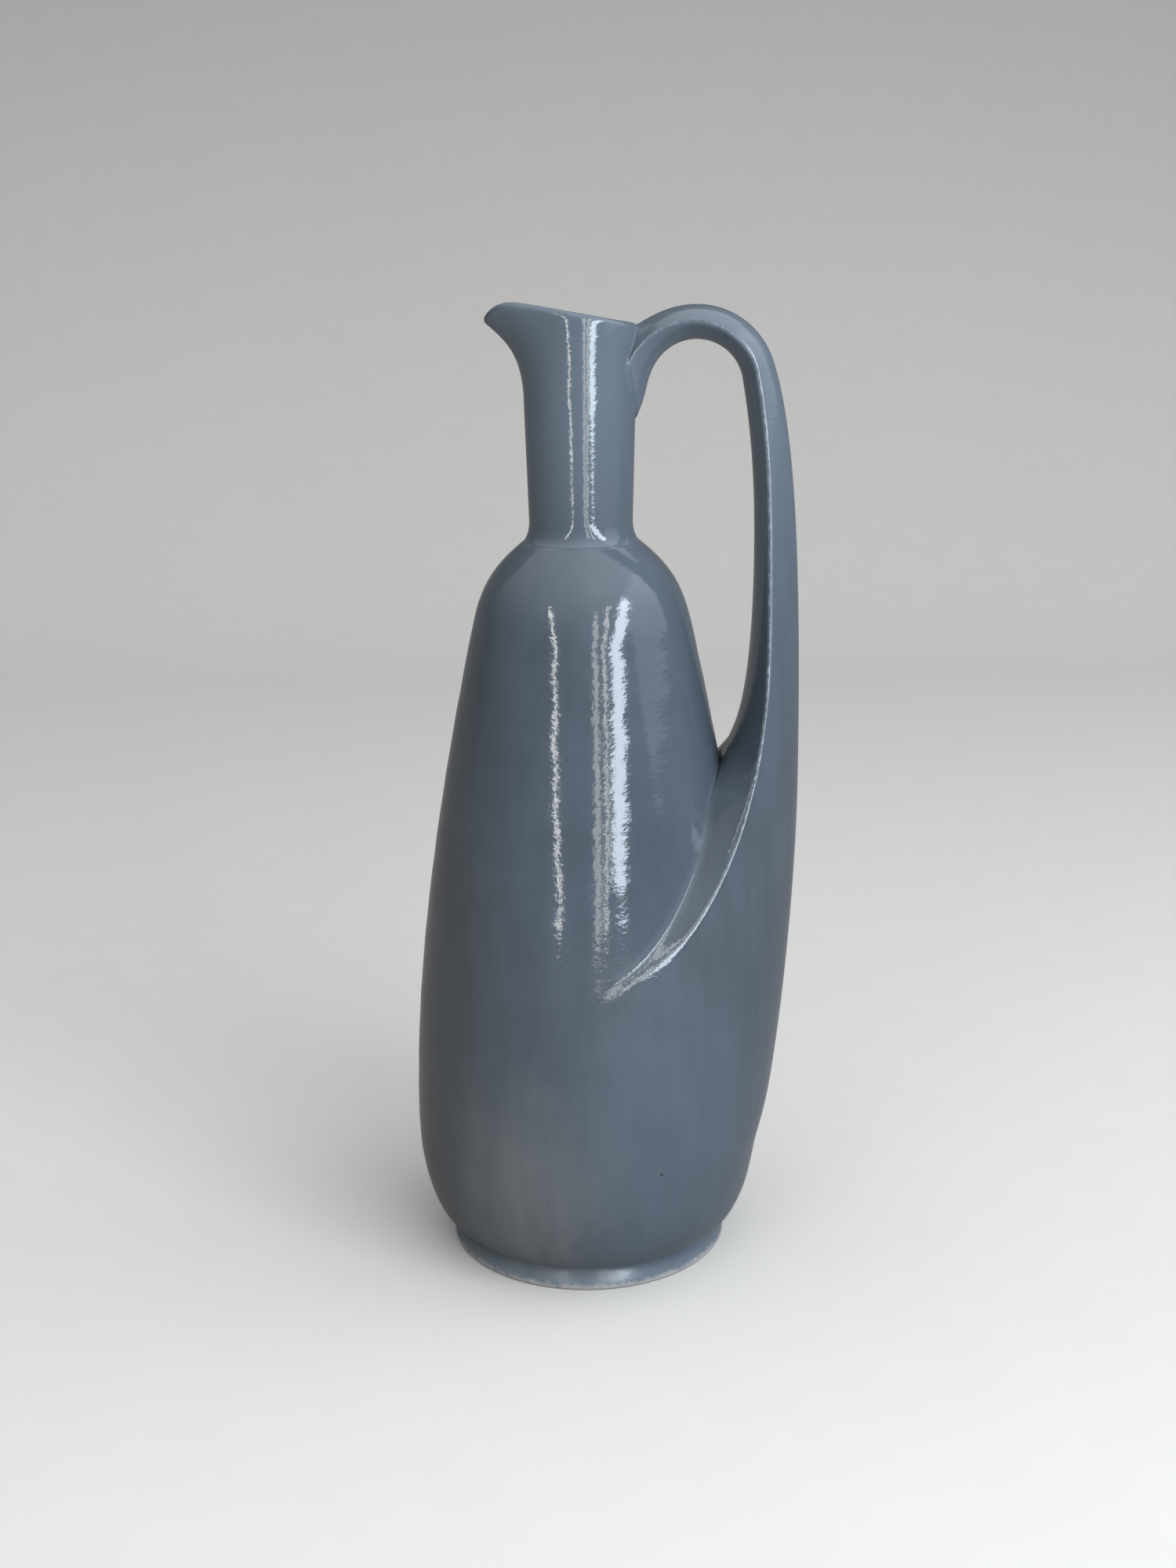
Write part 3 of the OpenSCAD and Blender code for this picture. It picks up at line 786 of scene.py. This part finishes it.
neck = piece_from(
    "neck_glazed",
    neck_points,
    ring_faces(NECK_COLUMNS, rows, True),
    neck_glaze,
    {"seam_mm": np.hypot(neck_r_at - SEAT_R, neck_points[:, 2] - SEAT_Z), "lip_mm": np.concatenate(lip_mm)},
)

# Hood of the handle
levels = np.concatenate([
    np.linspace(CUT_Z, TIP_Z - 10, HOOD_HIGH_RINGS),
    np.linspace(TIP_Z - 10, TOE_Z, HOOD_LOW_RINGS)[1:],
])
root = lofted(
    "handle_root_glazed",
    [eased_ring(z) for z in levels],
    handle_glaze,
    seam_on_belly,
    rippled,
    lambda p: 3 * ease((126 - p[:, 2]) / 12),
)

for piece, node, slot in (
    (foot_ring, "foot_ring", "foot_glaze"),
    (body, "body", "glaze"),
    (neck, "neck", "glaze"),
    (strap, "handle_strap", "glaze"),
    (root, "handle_root", "glaze"),
):
    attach(piece, "root")
    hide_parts(node)

# Floor that curves up into a plain backdrop
cove = []
for y in np.linspace(-2.5, 1.0, 15):
    cove.append((y, 0.0))
for a in np.linspace(0, math.pi / 2, 25)[1:]:
    cove.append((1.0 + 0.9 * math.sin(a), 0.9 - 0.9 * math.cos(a)))
cove.append((1.9, 3.0))
mesh = bpy.data.meshes.new("studio_floor")
mesh.from_pydata(
    [(x, y, z) for y, z in cove for x in (-3.0, 3.0)],
    [],
    [(2 * i, 2 * i + 1, 2 * i + 3, 2 * i + 2) for i in range(len(cove) - 1)],
)
mesh.polygons.foreach_set("use_smooth", [True] * len(mesh.polygons))
paper = bpy.data.materials.new("pale_paper")
paper.use_nodes = True
start = Wire(paper.node_tree)
grain = start.add("ShaderNodeTexCoord", (), (), 3).scaled(40, 40, 40).noise(4.0, 0.6)
skin = paper.node_tree.nodes["Principled BSDF"]
pale = grain.blend(colour(0.66, 0.64, 0.61), colour(0.69, 0.67, 0.64))
seen = start.add("ShaderNodeLightPath")
paper.node_tree.links.new(seen.blend(colour(0.25, 0.24, 0.23), pale).socket, skin.inputs["Base Color"])
skin.inputs["Roughness"].default_value = 0.9
mesh.materials.append(paper)
floor = bpy.data.objects.new("studio_floor", mesh)
bpy.context.scene.collection.objects.link(floor)


# Light: soft panels at a bearing round from the camera, positive to its right
def panel(name, bearing, distance, low, high, width, watts, tint):
    lamp = bpy.data.lights.new(name, "AREA")
    lamp.shape = "RECTANGLE"
    lamp.size, lamp.size_y = width, high - low
    lamp.energy, lamp.color = watts, tint
    lit = bpy.data.objects.new(name, lamp)
    way = math.radians(bearing)
    lit.location = (distance * math.sin(way), -distance * math.cos(way), (low + high) / 2)
    lit.rotation_euler = (Vector((0, 0, 0.16)) - Vector(lit.location)).to_track_quat("-Z", "Z").to_euler()
    bpy.context.scene.collection.objects.link(lit)


panel("main_panel", 38, 1.0, 0.01, 1.0, 0.18, 8.5, (0.8, 0.9, 1.0))
panel("thin_panel", 22, 1.0, 0.01, 0.9, 0.045, 1.2, (1.0, 0.98, 0.95))
panel("dim_panel", 12, 1.05, 0.01, 0.8, 0.08, 1.1, (1.0, 0.98, 0.95))
panel("left_panel", -27, 1.05, 0.01, 0.9, 0.035, 1.8, (1.0, 0.99, 0.97))
panel("side_panel", 80, 1.2, 0.1, 1.5, 1.0, 4, (0.9, 0.95, 1.0))

# Air that is brighter overhead, and on the handle's side
world = bpy.data.worlds.new("studio_air")
bpy.context.scene.world = world
world.use_nodes = True
start = Wire(world.node_tree)
out_way = start.add("ShaderNodeTexCoord", (), (), 0)
aside = start.add("ShaderNodeSeparateXYZ", (), {0: out_way}, 0)
up = start.add("ShaderNodeSeparateXYZ", (), {0: out_way}, 2)
air = world.node_tree.nodes["Background"]
bright = up.rise(0.1, 0.95) * (0.55 + 0.6 * aside.rise(-0.7, 0.6))
sky = bright.blend(colour(0.12, 0.125, 0.13), colour(1.4, 1.43, 1.48))
world.node_tree.links.new(sky.socket, air.inputs["Color"])

# Camera at the photograph's viewing angle
lens = bpy.data.cameras.new("camera")
lens.sensor_fit, lens.sensor_height, lens.lens = "VERTICAL", 36.0, 41.4
lens.clip_start = 0.01
camera = bpy.data.objects.new("camera", lens)
camera.matrix_world = (
    Matrix.Translation((0.00135, -0.585, 0.313))
    @ Matrix.Rotation(math.radians(90 - 14.51), 4, "X")
    @ Matrix.Rotation(math.radians(-0.62), 4, "Z")
)
bpy.context.scene.collection.objects.link(camera)
bpy.context.scene.camera = camera
bpy.context.scene.view_settings.view_transform = "Standard"
